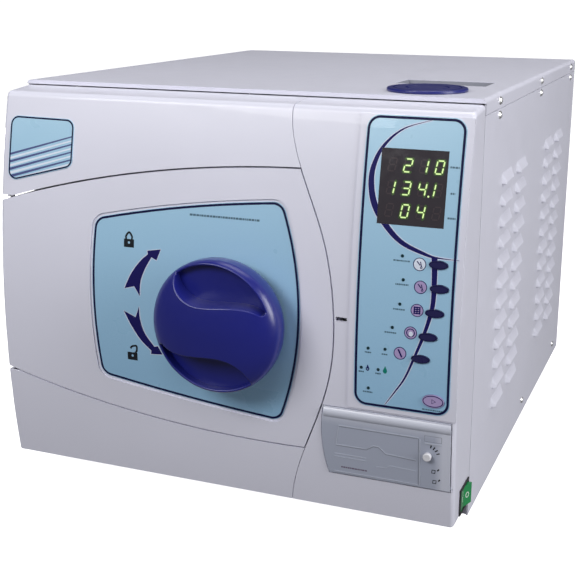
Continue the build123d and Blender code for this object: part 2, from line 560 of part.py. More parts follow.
# --- Build -------------------------------------------------------------------
def hinge_parts(upper, lower):
    brackets = []
    for plate_z, pin in (((284.5, 288.5), (234, 284.5)), ((76, 80), (80, 123))):
        plate = block(-235, -224, HINGE[1] - 2, 0, *plate_z)
        brackets.append(plate + rod_z(*HINGE, PIN_R, *pin))
    save("hinge_brackets", *brackets)
    bolt_up = KNOB[0] - PITCH_R - TOOTH_ROOT - 4.5
    bolt_down = KNOB[0] + PITCH_R + TOOTH_ROOT + 4.5
    upper -= block(bolt_up - 6, bolt_up + 6, UPRIGHT_Y[0] - 1, UPRIGHT_Y[1] + 1, 310, 340)
    lower -= block(bolt_down - 6, bolt_down + 6, UPRIGHT_Y[0] - 1, UPRIGHT_Y[1] + 1, 30, 70)
    keepers = [block(bolt_up - 12, bolt_up + 12, -41.8, 0, 329, 335), block(bolt_down - 12, bolt_down + 12, -50, 0, 44, 50)]
    slots = [block(b - 5.2, b + 5.2, UPRIGHT_Y[0] - 0.8, UPRIGHT_Y[1] + 0.8, 0, 400) for b in (bolt_up, bolt_down)]
    side_z = KNOB[1] + PITCH_R + TOOTH_ROOT + 4.5
    side = block(129, 135, -56, 0, side_z - 12, side_z + 12)
    side -= block(120, 140, CROSS_Y[0] - 0.8, CROSS_Y[1] + 0.8, side_z - 5.2, side_z + 5.2)
    save("lock_keepers", keepers[0] - slots[0], keepers[1] - slots[1], side)
    return upper, lower


upper, lower, door, right = fascia_pieces()
side_z = KNOB[1] + PITCH_R + TOOTH_ROOT + 4.5
right -= block(120, 129, CROSS_Y[0] - 1, CROSS_Y[1] + 1, side_z - 6, side_z + 6)
right -= block(*SLOT_X, -80, -55, *SLOT_Z)
upper, lower = hinge_parts(upper, lower)
right = power_switch(service_hatch(control_panel(right)))
save("fascia_left_upper", upper)
save("fascia_left_lower", lower)
save("fascia_right", right)
door_group(door)
save("door_knob", knob())
save("badge_plate", skin(-0.6, 0.6, badge_outline()))
cabinet()
pressure_system()
services()
print(len(PARTS), "nodes", sum(PARTS.values()), "solids")
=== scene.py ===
"""The looks of the benchtop autoclave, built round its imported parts.

Flat shapes are drawn in millimetres, as x from the middle and z above the fascia's lower edge.
front() carries them onto the bowed front. Materials, lights and the camera are in metres.
"""
import json
import math

import bmesh
import bpy
from mathutils import Matrix, Vector
from mathutils.geometry import tessellate_polygon


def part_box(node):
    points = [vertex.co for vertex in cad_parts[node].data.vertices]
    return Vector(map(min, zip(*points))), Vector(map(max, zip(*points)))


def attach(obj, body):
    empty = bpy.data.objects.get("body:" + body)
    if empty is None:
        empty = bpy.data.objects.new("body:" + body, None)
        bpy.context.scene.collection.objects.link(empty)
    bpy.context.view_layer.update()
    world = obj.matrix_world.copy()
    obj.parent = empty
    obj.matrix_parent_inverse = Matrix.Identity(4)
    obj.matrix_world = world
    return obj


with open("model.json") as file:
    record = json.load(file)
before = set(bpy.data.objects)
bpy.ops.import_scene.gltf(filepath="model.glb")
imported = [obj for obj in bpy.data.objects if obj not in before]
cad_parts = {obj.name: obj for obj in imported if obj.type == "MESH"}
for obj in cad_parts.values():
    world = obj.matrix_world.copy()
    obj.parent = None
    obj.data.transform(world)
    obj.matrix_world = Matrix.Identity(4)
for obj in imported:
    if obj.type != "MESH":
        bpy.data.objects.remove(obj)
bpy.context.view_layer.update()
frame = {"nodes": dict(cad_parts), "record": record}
NODES = frame["nodes"]

MM = 0.001
BOW_R = 978.0                   # the fascia front is one large arc, seen from the side
BOW_Z = 142.0                   # height of the arc's foremost point
PANEL_PROUD = 1.0               # the control panel stands this far off the fascia
LOW_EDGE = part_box("fascia_right")[0].z / MM
NOSE_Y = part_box("fascia_right")[0].y / MM + PANEL_PROUD
SLICE = 6.0                     # printed layers bend in strips of this height
INK = 0.12                      # how far a printed layer stands off its film

OVERLAY_PROUD = 1.5             # film of the control panel
FILTER_PROUD = 1.3
KEY_PROUD = 2.7
LABEL_PROUD = -0.9
BADGE_PROUD = 0.6
FLAP_PROUD = 1.0

PRINT_DEPTH = 0.3               # thickness of a printed layer. Its back is this far behind its face
HALO_LIFT = INK * 0.6           # layers that overlap on one film lie at different heights
DISC_LIFT = INK * 0.7
INNER_RING_LIFT = INK * 1.1
CORE_LIFT = INK * 1.2
SIGN_LIFT = INK * 1.4
KEY_LIFT = 0.08
FLAP_LIFT = 0.06
GLOW_LIFT, DIM_LIFT, LIT_LIFT = 0.03, 0.06, 0.09
SHARP_ANGLE = 35.0              # edges sharper than this stay sharp, in degrees
SPAN_STEPS = 6                  # steps of a smooth curve between two of its points

DISPLAY = (189.8, 315.2, 60.5, 65.5)        # centre x, z, width, height
KEYS = [(218, 251), (220, 230), (217, 208), (212, 186), (206, 165)]
START = (219.0, 127.0)
LATCH = (215.0, 72.0)
ROCKER_PIVOT = (237.5, -245.75)             # x and y of its axis
ROCKER_CREST = 3.4                          # its face stands this far off the axis in the middle
ROCKER_RISE = 0.177                         # and rises by this share towards either end
ROCKER_TILT = 9.0
MARK_LIFT, MARK_SUNK = 0.12, 0.3            # how far its marks stand off it, and reach into it

CAMERA_PLACE = (0.4423, -1.16545, 0.5199)
CAMERA_YAW, CAMERA_PITCH, CAMERA_ROLL = 21.08, -14.95, 0.29         # degrees
CAMERA_FOCAL = 1076.2 / 575.0               # focal length over the picture's width
CAMERA_SHIFT = (-0.0471, -0.0320)
SENSOR = 36.0                               # width in millimetres

FLOOR_GLOW = 1.3
FLOOR_SIZE = 40.0
SKY_LOW, SKY_HIGH = 0.16, 0.05              # strength below and above the horizon
SKY_FROM, SKY_TO = -0.4, 0.6                # it changes between these upward parts of a ray's direction
LAMP_AIM = (0.0, -0.1, 0.25)
LAMPS = [                       # name, place, size and power
    ("key", (-0.7, -1.6, 1.25), (0.9, 0.7), 19.0),
    ("front", (0.4, -1.4, 1.6), (0.9, 0.7), 5.0),
    ("side", (2.2, -0.6, 1.0), (1.0, 1.4), 39.0),
    ("top", (0.2, 0.4, 2.2), (1.4, 1.4), 18.0),
    ("back", (-1.9, 2.2, 0.14), (1.6, 0.3), 45.0),
]


# --- Materials ---------------------------------------------------------------
MIX_A, MIX_B, MIX_RESULT = 6, 7, 2          # the Mix node's colour sockets
NOISE_LOW, NOISE_HIGH = 0.3, 0.7            # most of a noise's values lie between these


class Finish:
    """A material being made: one Principled shader and the patterns that feed it."""

    def __init__(self, name, **constants):
        self.material = bpy.data.materials.new(name)
        self.material.use_nodes = True
        self.tree = self.material.node_tree
        self.shader = self.tree.nodes["Principled BSDF"]
        self.place = self.node("ShaderNodeTexCoord").outputs["Object"]
        for name, value in constants.items():
            self.shader.inputs[name.replace("_", " ")].default_value = value

    def node(self, kind, **settings):
        made = self.tree.nodes.new(kind)
        for name, value in settings.items():
            setattr(made, name, value)
        return made

    def link(self, source, target):
        self.tree.links.new(source, target)

    def stretched(self, scale):
        """The object's own coordinates, scaled along each axis."""
        made = self.node("ShaderNodeMapping")
        made.inputs["Scale"].default_value = scale
        self.link(self.place, made.inputs["Vector"])
        return made.outputs["Vector"]

    def noise(self, scale, detail=3.0, stretch=None):
        made = self.node("ShaderNodeTexNoise")
        made.inputs["Scale"].default_value = scale
        made.inputs["Detail"].default_value = detail
        self.link(self.stretched(stretch) if stretch else self.place, made.inputs["Vector"])
        return made.outputs["Fac"]

    def along(self, axis, start, end):
        """0 at start and 1 at end, along one axis of the object, in metres."""
        split = self.node("ShaderNodeSeparateXYZ")
        self.link(self.place, split.inputs["Vector"])
        return self.between(split.outputs[axis], 0.0, 1.0, start, end)

    def between(self, factor, low, high, start, end):
        """low where the factor is at start, high where it is at end."""
        made = self.node("ShaderNodeMapRange")
        for name, value in (("From Min", start), ("From Max", end), ("To Min", low), ("To Max", high)):
            made.inputs[name].default_value = value
        self.link(factor, made.inputs["Value"])
        return made.outputs["Result"]

    def blend(self, factor, low, high):
        """A colour from low to high. Either may be a socket."""
        made = self.node("ShaderNodeMix", data_type="RGBA")
        self.link(factor, made.inputs["Factor"])
        for socket, value in ((made.inputs[MIX_A], low), (made.inputs[MIX_B], high)):
            if isinstance(value, tuple):
                socket.default_value = (*value, 1.0)
            else:
                self.link(value, socket)
        return made.outputs[MIX_RESULT]

    def colour(self, source):
        self.link(source, self.shader.inputs["Base Color"])
        return self

    def rough(self, factor, low, high):
        """A roughness that wanders between low and high."""
        self.link(self.between(factor, low, high, NOISE_LOW, NOISE_HIGH), self.shader.inputs["Roughness"])
        return self

    def bump(self, height, depth, strength):
        """A relief of the given depth, in metres."""
        made = self.node("ShaderNodeBump")
        made.inputs["Distance"].default_value = depth
        made.inputs["Strength"].default_value = strength
        self.link(height, made.inputs["Height"])
        self.link(made.outputs["Normal"], self.shader.inputs["Normal"])
        return self


def tinted(colour, share):
    """The colour made darker, or lighter where share is above 1."""
    return tuple(min(1.0, c * share) for c in colour)


def painted(name, colour, grain, depth, rough, **constants):
    """A sprayed coat: orange peel, a faint cloudiness, and an uneven sheen."""
    made = Finish(name, **constants)
    cloud = made.noise(9.0, 4.0)
    made.colour(made.blend(cloud, tinted(colour, 0.97), tinted(colour, 1.03)))
    made.rough(made.noise(60.0), rough - 0.05, rough + 0.06)
    return made.bump(made.noise(grain, 2.0), depth, 0.5).material


def moulded(name, colour, rough, grain=2400.0, depth=0.00002, **constants):
    """A moulded plastic: an even tint, flow marks and a fine spark-eroded skin."""
    made = Finish(name, **constants)
    flow = made.noise(24.0, 5.0, (1.0, 1.0, 2.5))
    made.colour(made.blend(flow, tinted(colour, 0.93), tinted(colour, 1.07)))
    made.rough(made.noise(140.0), rough - 0.04, rough + 0.05)
    return made.bump(made.noise(grain, 2.0), depth, 0.6).material


def brushed(name, colour, stretch, rough, **constants):
    """Metal with a grain: long scratches along one axis."""
    made = Finish(name, Metallic=1.0, **constants)
    lines = made.noise(40.0, 6.0, stretch)
    made.colour(made.blend(lines, tinted(colour, 0.86), tinted(colour, 1.1)))
    made.rough(lines, rough - 0.08, rough + 0.1)
    return made.bump(lines, 0.00003, 0.5).material


def cast(name, colour, rough, scale, depth):
    """Metal with a pebbled skin and darker hollows."""
    made = Finish(name, Metallic=1.0)
    pebbles = made.noise(scale, 5.0)
    made.colour(made.blend(pebbles, tinted(colour, 0.75), tinted(colour, 1.15)))
    made.rough(pebbles, rough - 0.08, rough + 0.12)
    return made.bump(pebbles, depth, 0.8).material


def film(name, low, high, **constants):
    """Printed polyester: a pale blue that changes with height, over a fine halftone."""
    made = Finish(name, **constants)
    height = made.along("Z", 0.10, 0.41)
    shade = made.blend(height, low, high)
    halftone = made.between(made.noise(900.0, 1.0), 0.0, 0.10, 0.35, 0.65)
    made.colour(made.blend(halftone, shade, tinted(high, 1.08)))
    made.rough(made.noise(30.0), 0.26, 0.36)
    return made.bump(made.noise(1500.0, 1.0), 0.00001, 0.4).material


def smoked_with_painted_highlights(name, low, high, edge, rough, **constants):
    """The service flap: paler along its rolled top edge and towards its right edge. Both are painted
    highlights.
    """
    made = Finish(name, **constants)
    # painted highlight: paler towards the rolled top edge, then towards the right edge
    top = made.blend(made.along("Z", 0.121, 0.137), low, high)
    side = made.blend(made.along("X", 0.221, 0.229), top, edge)
    made.colour(side)
    made.rough(made.noise(140.0), rough - 0.04, rough + 0.05)
    return made.bump(made.noise(1800.0, 2.0), 0.00002, 0.6).material


def wool(name, colour):
    """A matted, tufted blanket."""
    made = Finish(name, Sheen_Weight=0.4, Roughness=0.95)
    tufts = made.noise(220.0, 8.0)
    made.colour(made.blend(tufts, tinted(colour, 0.7), tinted(colour, 1.15)))
    return made.bump(tufts, 0.001, 1.0).material


def finned(name, colour):
    """A stack of thin fins. The dark bands between them are painted shade in the gaps."""
    made = Finish(name, Metallic=0.9)
    wave = made.node("ShaderNodeTexWave", bands_direction="X")
    wave.inputs["Scale"].default_value = 160.0
    made.link(made.place, wave.inputs["Vector"])
    # painted shade: the colour falls to a quarter in the bands between the fins
    made.colour(made.blend(wave.outputs["Fac"], tinted(colour, 0.25), colour))
    made.rough(made.noise(80.0), 0.3, 0.45)
    return made.bump(wave.outputs["Fac"], 0.0005, 1.0).material


def lit(name, colour, strength):
    """A lit segment, a little uneven along its length."""
    made = Finish(name, Roughness=0.4, Emission_Strength=strength)
    glow = made.blend(made.noise(500.0, 1.0), tinted(colour, 0.9), tinted(colour, 1.1))
    made.link(glow, made.shader.inputs["Emission Color"])
    return made.colour(glow).material


WHITE = (0.735, 0.735, 0.845)
NAVY = (0.006, 0.007, 0.05)
LILAC = (0.42, 0.33, 0.58)
BLUE_LOW, BLUE_HIGH = (0.28, 0.50, 0.72), (0.40, 0.63, 0.80)
# the flap's face colour, and two paler colours that are painted highlights on its top roll and its right edge
FLAP_FACE, FLAP_ROLL_HIGHLIGHT, FLAP_EDGE_HIGHLIGHT = (0.40, 0.43, 0.53), (0.68, 0.70, 0.80), (0.62, 0.64, 0.74)
FINISHES = {
    "cabinet_paint": painted("cabinet_paint", WHITE, 1100.0, 0.00006, 0.42, Coat_Weight=0.15),
    "fascia_plastic": painted("fascia_plastic", WHITE, 1900.0, 0.000025, 0.36, Coat_Weight=0.2),
    "knob_blue": moulded("knob_blue", (0.010, 0.014, 0.19), 0.32, 300.0, 0.00001,
                         Coat_Weight=0.25, Coat_Roughness=0.22),
    "cap_violet": moulded("cap_violet", (0.016, 0.020, 0.16), 0.34, Coat_Weight=0.2, Coat_Roughness=0.25),
    "label_blue": film("label_blue", BLUE_LOW, BLUE_HIGH, Coat_Weight=0.2),
    "display_dark": moulded("display_dark", (0.042, 0.036, 0.044), 0.16, Coat_Weight=0.4),
    "key_navy": moulded("key_navy", (0.012, 0.010, 0.075), 0.3, Coat_Weight=0.3),
    "key_lilac": moulded("key_lilac", LILAC, 0.3, Coat_Weight=0.3),
    "flap_grey": smoked_with_painted_highlights("flap_grey", FLAP_FACE, FLAP_ROLL_HIGHLIGHT, FLAP_EDGE_HIGHLIGHT, 0.34,
                        Coat_Weight=0.2, Coat_Roughness=0.2),
    "latch_white": moulded("latch_white", (0.72, 0.72, 0.76), 0.25, Coat_Weight=0.4),
    "rocker_green": moulded("rocker_green", (0.01, 0.27, 0.075), 0.2, Coat_Weight=0.5),
    "black_plastic": moulded("black_plastic", (0.018, 0.018, 0.02), 0.45),
    "grey_plastic": moulded("grey_plastic", (0.30, 0.31, 0.36), 0.45),
    "tank_plastic": moulded("tank_plastic", (0.70, 0.73, 0.72), 0.42, 500.0, 0.0001, Subsurface_Weight=0.1),
    "foot_rubber": moulded("foot_rubber", (0.022, 0.022, 0.022), 0.75, 1200.0, 0.00008),
    "seal_silicone": moulded("seal_silicone", (0.66, 0.62, 0.56), 0.55, 900.0, 0.00005),
    "chamber_steel": brushed("chamber_steel", (0.56, 0.56, 0.55), (3.0, 45.0, 45.0), 0.3),
    "zinc_steel": brushed("zinc_steel", (0.52, 0.53, 0.55), (3.0, 3.0, 14.0), 0.38),
    "screw_steel": brushed("screw_steel", (0.95, 0.95, 0.96), (20.0, 20.0, 20.0), 0.42),
    "brass_fitting": brushed("brass_fitting", (0.66, 0.46, 0.18), (4.0, 18.0, 18.0), 0.28),
    "copper_coil": finned("copper_coil", (0.70, 0.71, 0.72)),
    "insulation_wool": wool("insulation_wool", (0.72, 0.68, 0.54)),
    "dark_metal": painted("dark_metal", (0.04, 0.04, 0.045), 900.0, 0.0001, 0.5),
    "pump_casting": cast("pump_casting", (0.36, 0.37, 0.38), 0.5, 420.0, 0.0004),
    "circuit_board": moulded("circuit_board", (0.012, 0.13, 0.045), 0.35, 260.0, 0.0001),
}
INKS = {                        # a material slot name for each printed layer, which the script does not use, and the layer's own material
    "navy": ("label_blue", moulded("navy_ink", NAVY, 0.5, Specular_IOR_Level=0.15)),
    "violet": ("label_blue", moulded("violet_ink", (0.010, 0.008, 0.10), 0.5, Specular_IOR_Level=0.15)),
    "halo": ("label_blue", moulded("halo_ink", (0.62, 0.68, 0.84), 0.35)),
    "black": ("label_blue", moulded("black_ink", (0.006, 0.008, 0.012), 0.35)),
    "faint": ("label_blue", moulded("faint_ink", (0.075, 0.15, 0.21), 0.4)),
    "lilac": ("key_lilac", moulded("lilac_ink", LILAC, 0.35)),
    "green": ("label_blue", moulded("green_ink", (0.0, 0.20, 0.15), 0.35)),
    "stripe": ("label_blue", moulded("stripe_ink", (0.07, 0.09, 0.25), 0.35)),
    "pale": ("label_blue", moulded("pale_ink", (0.74, 0.80, 0.92), 0.35)),
    "lamp": ("display_dark", moulded("lamp_lens", (0.01, 0.035, 0.045), 0.12, Coat_Weight=0.6)),
    "segment": ("display_dark", lit("lit_segment", (0.50, 0.66, 0.27), 0.75)),
    "glow": ("display_dark", lit("segment_glow", (0.022, 0.060, 0.006), 0.4)),
    "dim": ("display_dark", moulded("dim_segment", (0.058, 0.045, 0.052), 0.2)),
    # the flap's raised lines are real relief, but their paler colour is a painted highlight; the darker lines
    # beside them are painted shade
    "ridge_highlight": ("flap_grey", moulded("flap_ridge_highlight", (0.50, 0.53, 0.62), 0.3, Coat_Weight=0.3)),
    "relief_shade": ("flap_grey", moulded("flap_relief_shade", (0.24, 0.26, 0.32), 0.4)),
    "mauve": ("flap_grey", moulded("mauve_ink", (0.16, 0.12, 0.18), 0.4)),
}


# --- Flat shapes, as closed loops of (x, z) in millimetres -------------------
def oval(x, z, a, b, count=40):
    return [(x + a * math.cos(2 * math.pi * k / count), z + b * math.sin(2 * math.pi * k / count))
            for k in range(count)]


def disc(x, z, r, count=28):
    return oval(x, z, r, r, count)


def ring(x, z, outer, inner, count=28):
    return [disc(x, z, outer, count), disc(x, z, inner, count)]


def stroke(a, b, width, width_b=None):
    """A straight line of the given width, as a four-sided loop. width_b is the width at b."""
    run = Vector(b) - Vector(a)
    side = Vector((-run.y, run.x)).normalized() / 2
    end = width if width_b is None else width_b
    return [tuple(Vector(a) + side * width), tuple(Vector(a) - side * width),
            tuple(Vector(b) - side * end), tuple(Vector(b) + side * end)]


def smooth(points):
    """A Catmull-Rom curve through the points."""
    p = [Vector(q) for q in points]
    p = [2 * p[0] - p[1], *p, 2 * p[-1] - p[-2]]
    out = []
    for a, b, c, d in zip(p, p[1:], p[2:], p[3:]):
        for k in range(SPAN_STEPS):
            t = k / SPAN_STEPS
            out.append(0.5 * (2 * b + (c - a) * t + (2 * a - 5 * b + 4 * c - d) * t ** 2
                              + (3 * b - a - 3 * c + d) * t ** 3))
    return [*out, p[-2]]


def ribbon(points, width_at, grow=0.0):
    """A curved stroke. width_at gives its width from 0 at its start to 1 at its end."""
    line = smooth(points)
    left, right = [], []
    for k, p in enumerate(line):
        run = (line[min(k + 1, len(line) - 1)] - line[max(k - 1, 0)]).normalized()
        side = Vector((-run.y, run.x)) * (width_at(k / (len(line) - 1)) / 2 + grow)
        left.append(tuple(p + side))
        right.append(tuple(p - side))
    return left + right[::-1]


def shrunk(loop, by):
    """The loop moved inwards by a small distance, or outwards if it is negative."""
    area = sum(a[0] * b[1] - b[0] * a[1] for a, b in zip(loop, loop[1:] + loop[:1]))
    turn = 1 if area > 0 else -1
    out = []
    for before, here, after in zip(loop[-1:] + loop[:-1], loop, loop[1:] + loop[:1]):
        run = (Vector(after) - Vector(here)).normalized() + (Vector(here) - Vector(before)).normalized()
        run.normalize()
        out.append(tuple(Vector(here) + Vector((-run.y, run.x)) * (turn * by)))
    return out


def clipped(loop, hull):
    """The part of a convex loop inside a convex hull."""
    area = sum(a[0] * b[1] - b[0] * a[1] for a, b in zip(hull, hull[1:] + hull[:1]))
    out = [Vector(p) for p in loop]
    for a, b in zip(hull, hull[1:] + hull[:1]):
        run = (Vector(b) - Vector(a)) * (1 if area > 0 else -1)
        normal = Vector((-run.y, run.x))
        kept = []
        for p, q in zip(out, out[1:] + out[:1]):
            dp, dq = (p - Vector(a)).dot(normal), (q - Vector(a)).dot(normal)
            if dp >= 0:
                kept.append(p)
            if dp * dq < 0:
                kept.append(p.lerp(q, dp / (dp - dq)))
        out = kept
    return [tuple(p) for p in out]


def dashes(x, z, width, height, seed):
    """A row of small blocks that stands for a line of small print."""
    out, at = [], x
    while at < x + width - 0.4:
        seed = (seed * 37 + 11) % 101
        run = min(height * (0.5 + seed / 90), x + width - at)
        out.append([[(at, z), (at + run, z), (at + run, z + height), (at, z + height)]])
        at += run + height * 0.32
    return out


# --- Pieces ------------------------------------------------------------------
def front(x, z, proud):
    """A place on the front, this far outside the fascia's bowed surface."""
    y = NOSE_Y + BOW_R - math.sqrt((BOW_R + proud) ** 2 - (z - BOW_Z) ** 2)
    return Vector((x, y, z + LOW_EDGE)) * MM


def finished(mesh, name, material, body):
    """Turns a bmesh into a piece that rides on a body."""
    bmesh.ops.recalc_face_normals(mesh, faces=mesh.faces)
    data = bpy.data.meshes.new(name)
    mesh.to_mesh(data)
    mesh.free()
    data.shade_smooth()
    data.set_sharp_from_angle(angle=math.radians(SHARP_ANGLE))
    data.materials.append(material)
    piece = bpy.data.objects.new(name, data)
    bpy.context.scene.collection.objects.link(piece)
    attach(piece, body)


def flat_mesh(shapes):
    """Each shape is a list of loops: its outline, then its holes."""
    mesh = bmesh.new()
    for loops in shapes:
        rings = [[Vector((x, z, 0.0)) for x, z in loop] for loop in loops]
        points = [mesh.verts.new((p.x, 0.0, p.y)) for corners in rings for p in corners]
        for corners in tessellate_polygon(rings):
            if len(set(corners)) == 3:
                mesh.faces.new([points[k] for k in corners])
    return mesh


def thickened(mesh):
    """Gives a flat mesh a second skin, and returns that skin's vertices."""
    made = bmesh.ops.extrude_face_region(mesh, geom=mesh.faces[:], use_keep_orig=True)
    return {v for v in made["geom"] if isinstance(v, bmesh.types.BMVert)}


def printed(name, ink, shapes, proud, body, lift=INK, without=None):
    """Thin shapes that follow the bowed front. without is a rectangle that they leave free."""
    mesh = flat_mesh(shapes)
    cuts = []
    if without:
        x, z, w, h = without
        cuts = [((x - w / 2, 0, 0), (1, 0, 0)), ((x + w / 2, 0, 0), (1, 0, 0)),
                ((0, 0, z - h / 2), (0, 0, 1)), ((0, 0, z + h / 2), (0, 0, 1))]
    low = min(v.co.z for v in mesh.verts)
    high = max(v.co.z for v in mesh.verts)
    strips = int((high - low) // SLICE)
    cuts += [((0, 0, low + SLICE * (k + 1)), (0, 0, 1)) for k in range(strips)]
    for point, normal in cuts:
        parts = mesh.verts[:] + mesh.edges[:] + mesh.faces[:]
        bmesh.ops.bisect_plane(mesh, geom=parts, dist=1e-4, plane_co=point, plane_no=normal)
    if without:
        hidden = [f for f in mesh.faces if abs(f.calc_center_median().x - x) < w / 2
                  and abs(f.calc_center_median().z - z) < h / 2]
        bmesh.ops.delete(mesh, geom=hidden, context="FACES")
    back = thickened(mesh)
    for v in mesh.verts:
        v.co = front(v.co.x, v.co.z, proud + (lift - PRINT_DEPTH if v in back else lift))
    slot, material = INKS[ink]
    finished(mesh, name, material, body)


def front_loop(node):
    """The outline of a node's front face, as points (x, z) in order, in millimetres."""
    mesh = bmesh.new()
    mesh.from_mesh(NODES[node].data)
    bmesh.ops.remove_doubles(mesh, verts=mesh.verts, dist=1e-6)
    faces = {f for f in mesh.faces if f.normal.y < -0.7}
    rim = [e for e in mesh.edges if sum(f in faces for f in e.link_faces) == 1]
    nexts = {}
    for e in rim:
        a, b = e.verts
        nexts.setdefault(a, []).append(b)
        nexts.setdefault(b, []).append(a)
    loops, seen = [], set()
    for start in nexts:
        if start in seen:
            continue
        loop, here = [], start
        while here is not None:
            seen.add(here)
            loop.append((here.co.x / MM, here.co.z / MM - LOW_EDGE))
            here = next((v for v in nexts[here] if v not in seen), None)
        loops.append(loop)
    mesh.free()
    return max(loops, key=lambda loop: max(p[0] for p in loop) - min(p[0] for p in loop))


def border(loop, inset, width):
    """A line that follows a loop, just inside it."""
    return [[shrunk(loop, inset), shrunk(loop, inset + width)]]


# --- Door label --------------------------------------------------------------
HALO = 1.0                      # width of the pale line round each arrow
LOCK_SWING = -38                # how far the open padlock's shackle is swung, in degrees
SHACKLE = 1.9                   # width of its line


def arrow(outer, inner, tip, barbs, notch):
    """A crescent arrow: its two edges, the head's point and barbs, and the notch in its tail."""
    edge = [tuple(p) for p in smooth(outer)]
    return [*edge, barbs[0], tip, barbs[1], *[tuple(p) for p in smooth(inner)], notch]


def padlock(x, z, shackle_turn):
    """A padlock: its body with a keyhole, and its shackle, which may be swung open."""
    body = [(x - 5.5, z - 6), (x + 5.5, z - 6), (x + 5.5, z + 2), (x - 5.5, z + 2)]
    keyhole = disc(x, z - 1.4, 1.3, 12)
    pivot = Vector((x + 3.2, z + 2))
    bow = [(-6.4, 0), (-6.4, 3), (-3.2, 6.6), (0, 3), (0, 0)]
    turn = Matrix.Rotation(math.radians(shackle_turn), 2)
    line = [pivot + turn @ Vector(p) for p in bow]
    return [[body, keyhole], [ribbon(line, lambda t: SHACKLE)]]


def door_graphics():
    """The label's border, the two arrows with a padlock at each, and a line of print."""
    rim = front_loop("door_label")
    printed("label_border", "navy", border(rim, 0.5, 2.1), LABEL_PROUD, "door")
    close = arrow([(-96, 197), (-88, 213), (-78, 226), (-70, 233)],
                  [(-66, 230.5), (-73.5, 217.5), (-78, 205), (-79, 191)],
                  (-56, 239), [(-70.5, 236.5), (-60.5, 228)], (-85, 200))
    open_ = arrow([(-97, 174), (-89, 160), (-79, 146.5), (-67.5, 136.5)],
                  [(-64, 141), (-74, 153.5), (-79, 167), (-80, 180)],
                  (-55, 134), [(-68, 133), (-60, 142)], (-84, 169))
    halos = [[shrunk(close, -HALO)], [shrunk(open_, -HALO)]]
    printed("arrow_halos", "halo", halos, LABEL_PROUD, "door", HALO_LIFT)
    printed("arrows", "violet", [[close], [open_]], LABEL_PROUD, "door")
    locks = padlock(-91, 244, 0) + padlock(-89, 130, LOCK_SWING)
    printed("lock_signs", "black", locks, LABEL_PROUD, "door")
    printed("label_print", "faint", dashes(-26, 274, 72, 1.9, 5), LABEL_PROUD, "door")


# --- Badge -------------------------------------------------------------------
STRIPES = 7
STRIPE_LOW, STRIPE_PITCH = 272.0, 7.4       # height of the lowest stripe's left end, and the step to the next
STRIPE_LEFT, STRIPE_RIGHT, STRIPE_RISE = -240.0, -150.0, 26.0
STRIPE_WIDTH, STRIPE_THINNER, STRIPE_END = 3.4, 0.2, 1.2    # each is this much thinner than the one below
STRIPE_GAP = 3.9                # a pale stripe lies this far below each dark one


def badge_graphics():
    """A border, and dark and pale stripes that rise to the right."""
    rim = front_loop("badge_plate")
    printed("badge_border", "navy", border(rim, 0.5, 1.5), BADGE_PROUD, "root")
    field = shrunk(rim, 2.0)
    dark, light = [], []
    for k in range(STRIPES):
        for loops, drop in ((dark, 0.0), (light, STRIPE_GAP)):
            low = STRIPE_LOW + STRIPE_PITCH * k - drop
            width = STRIPE_WIDTH - STRIPE_THINNER * k
            line = stroke((STRIPE_LEFT, low), (STRIPE_RIGHT, low + STRIPE_RISE), width, STRIPE_END)
            part = clipped(line, field)
            if len(part) > 2:
                loops.append([part])
    printed("badge_stripes", "stripe", dark, BADGE_PROUD, "root")
    printed("badge_gaps", "pale", light, BADGE_PROUD, "root", DISC_LIFT)


# --- Control panel -----------------------------------------------------------
CRESCENT = [(203, 373.5), (178, 365), (162, 351), (154, 335), (152, 319), (156, 300), (166, 284), (183, 268),
            (206, 259), (217, 257), (236, 256.5)]
STALK = [(214, 257), (215, 239), (215, 217), (212, 201), (207, 184), (200, 165), (192, 145), (182, 129),
         (174, 117)]
LAMPS_AT = [(185, 256), (187, 235), (185, 213), (179, 191), (157, 169), (173, 170), (151, 150), (167, 150),
            (158, 131)]
LAMP_R, LAMP_LIFT = 1.5, 0.3
PRINT_ROWS = [                  # x, z and length of each line of small print
    (177, 251, 15), (180, 230, 12), (179, 207.5, 11), (172, 185.5, 11), (154, 164.5, 6),
    (170, 164.5, 6), (148.5, 145.5, 5), (164.5, 145.5, 5), (153, 126.5, 9), (209, 117.5, 19),
]
DISPLAY_ROWS = [(222, 334, 8, 3), (224, 312, 4, 9), (223, 291, 7, 4)]       # the same, and a seed
ROW_HIGH, DISPLAY_ROW_HIGH = 1.3, 1.6
ICONS = [(201, 250), (203, 230), (201, 209), (196, 188), (187, 168)]
ICON_R, ICON_RIM = 5.9, 0.7     # radius, and width of the rim
DROP = [(0, 3.4), (1.2, 0.9), (1.7, -0.7), (1.0, -2.2), (-0.2, -2.6), (-1.4, -1.8), (-1.6, -0.3), (-0.9, 1.2)]
DROP_AT, GREEN_DROP_AT = (157, 150), (173.5, 150)
GREEN_DROP_SCALE = 1.2


def crescent_width(t):
    """Thin at both ends and broad in the middle."""
    return 0.3 + 5.4 * math.sin(math.pi * t) ** 1.5


def stalk_width(t):
    """Broad at its top and thin at its foot."""
    return 5.4 - 4.9 * t


